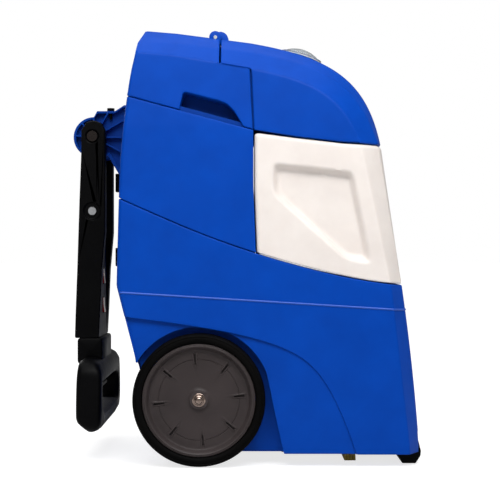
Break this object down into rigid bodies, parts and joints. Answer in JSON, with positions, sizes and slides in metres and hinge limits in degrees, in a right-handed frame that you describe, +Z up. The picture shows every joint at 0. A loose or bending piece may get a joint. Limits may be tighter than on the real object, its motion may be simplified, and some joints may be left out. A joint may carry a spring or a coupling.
{
  "type": "carpet cleaner machine",
  "caption": "Walk-behind carpet cleaner: upright body on two wheels and a suction shoe, with a folding handle, a hinged hood and a pull-out recovery tank.",
  "frame": {"origin": "centre of the machine's outline on the floor, with the handle folded down", "axes": "+X forward to the suction shoe, +Y to the machine's left, +Z up"},
  "size_m": [0.691, 0.45, 0.848],
  "materials": {
    "blue_shell": "satin moulded polyethylene",
    "blue_frame": "satin moulded polyethylene",
    "white_tank": "satin, slightly translucent",
    "natural_tank": "matt",
    "clear_window": "clear polished",
    "black_plastic": "fine moulded grain",
    "hub_grey": "matt moulded",
    "tyre_rubber": "matt",
    "soft_rubber": "matt",
    "bright_steel": "polished",
    "zinc_steel": "zinc plated",
    "motor_case": "painted",
    "yellow_bristle": "nylon filament",
    "brass": "turned",
    "aluminium_bar": "extruded",
    "nylon_bush": "matt",
    "red_switch": "gloss"
  },
  "bodies": {
    "body": {"base_housing": "blue_shell", "rear_casing": "blue_shell", "top_housing": "blue_shell", "handle_bracket_right": "blue_shell", "handle_bracket_left": "blue_shell", "solution_tank": "natural_tank", "cord_hooks": "black_plastic", "vacuum_shoe": "black_plastic", "power_inlet_panel": "black_plastic", "power_inlet": "black_plastic", "brush_guides": "black_plastic", "suction_duct": "black_plastic", "suction_riser": "black_plastic", "solution_pump": "black_plastic", "vacuum_fan_housing": "black_plastic", "handle_pivot_bolts": "bright_steel", "wheel_cap_nuts": "bright_steel", "hood_hinge_pins": "bright_steel", "chassis_screws": "bright_steel", "axle": "bright_steel", "axle_brackets": "zinc_steel", "chassis_plate": "zinc_steel", "motor_shelf": "zinc_steel", "brush_motor_bracket": "zinc_steel", "vacuum_motor": "motor_case", "brush_motor": "motor_case", "spray_nozzles": "brass", "spray_manifold": "aluminium_bar"},
    "handle": {"handle_arm_right": "black_plastic", "handle_arm_left": "black_plastic", "handle_tie_bolt": "bright_steel", "handle_loop": "black_plastic", "hand_grip": "soft_rubber", "console_body": "black_plastic", "console_cover": "black_plastic"},
    "wheel_right": {"tyre_right": "tyre_rubber", "hub_right": "hub_grey", "wheel_bush_right": "nylon_bush"},
    "wheel_left": {"tyre_left": "tyre_rubber", "hub_left": "hub_grey", "wheel_bush_left": "nylon_bush"},
    "hood": {"hood_shell": "blue_shell", "window_frame": "blue_frame", "window_gasket": "soft_rubber", "window_dome": "clear_window", "hood_duct": "black_plastic", "hood_knuckles": "blue_shell"},
    "recovery_tank": {"recovery_tank": "white_tank", "float_cage": "black_plastic"},
    "float": {"float_ball": "nylon_bush"},
    "brush": {"brush_bar": "black_plastic", "brush_bristles": "yellow_bristle"},
    "brush_crank": {"brush_crank": "zinc_steel"},
    "vacuum_impeller": {"vacuum_impeller": "black_plastic"},
    "spray_trigger": {"spray_trigger": "black_plastic"},
    "vacuum_switch": {"vacuum_switch": "red_switch"},
    "pump_switch": {"pump_switch": "red_switch"},
    "release_knob": {"release_knob": "black_plastic"},
    "fill_cap": {"fill_cap": "black_plastic"}
  },
  "joints": [
    {"name": "handle_fold", "type": "hinge", "parent": "body", "child": "handle", "pos_m": [-0.3043, 0, 0.6432], "axis": [0, 1, 0], "range_deg": [0, 150]},
    {"name": "wheel_right_spin", "type": "hinge", "parent": "body", "child": "wheel_right", "pos_m": [-0.0835, -0.2, 0.127], "axis": [0, 1, 0], "continuous": true},
    {"name": "wheel_left_spin", "type": "hinge", "parent": "body", "child": "wheel_left", "pos_m": [-0.0835, 0.2, 0.127], "axis": [0, 1, 0], "continuous": true},
    {"name": "hood_hinge", "type": "hinge", "parent": "body", "child": "hood", "pos_m": [-0.054, 0, 0.831], "axis": [0, -1, 0], "range_deg": [0, 80]},
    {"name": "tank_slide", "type": "slide", "parent": "body", "child": "recovery_tank", "axis": [0.9937, 0, -0.1117], "range_m": [0, 0.26]},
    {"name": "float_lift", "type": "slide", "parent": "recovery_tank", "child": "float", "axis": [0, 0, 1], "range_m": [0, 0.018]},
    {"name": "brush_sweep", "type": "slide", "parent": "body", "child": "brush", "axis": [0, 1, 0], "range_m": [-0.004, 0.004]},
    {"name": "crank_spin", "type": "hinge", "parent": "body", "child": "brush_crank", "pos_m": [0.21, 0, 0.055], "axis": [0, 0, 1], "continuous": true},
    {"name": "impeller_spin", "type": "hinge", "parent": "body", "child": "vacuum_impeller", "pos_m": [-0.09, 0.062, 0.32], "axis": [0, 0, 1], "continuous": true},
    {"name": "trigger_squeeze", "type": "slide", "parent": "handle", "child": "spray_trigger", "axis": [0, 0, -1], "range_m": [0, 0.006], "stiffness_N_per_m": 400, "springref_m": -0.003},
    {"name": "vacuum_switch_rock", "type": "hinge", "parent": "handle", "child": "vacuum_switch", "pos_m": [-0.295, 0, 0.3], "axis": [0, 1, 0], "range_deg": [0, 12]},
    {"name": "pump_switch_rock", "type": "hinge", "parent": "handle", "child": "pump_switch", "pos_m": [-0.295, 0, 0.36], "axis": [0, 1, 0], "range_deg": [0, 12]},
    {"name": "release_pull", "type": "slide", "parent": "body", "child": "release_knob", "axis": [0, 0, 1], "range_m": [0, 0.005], "stiffness_N_per_m": 800, "springref_m": -0.002},
    {"name": "fill_cap_turn", "type": "hinge", "parent": "body", "child": "fill_cap", "pos_m": [-0.11, 0, 0.823], "axis": [0, 0, 1], "range_deg": [0, 90]}
  ]
}
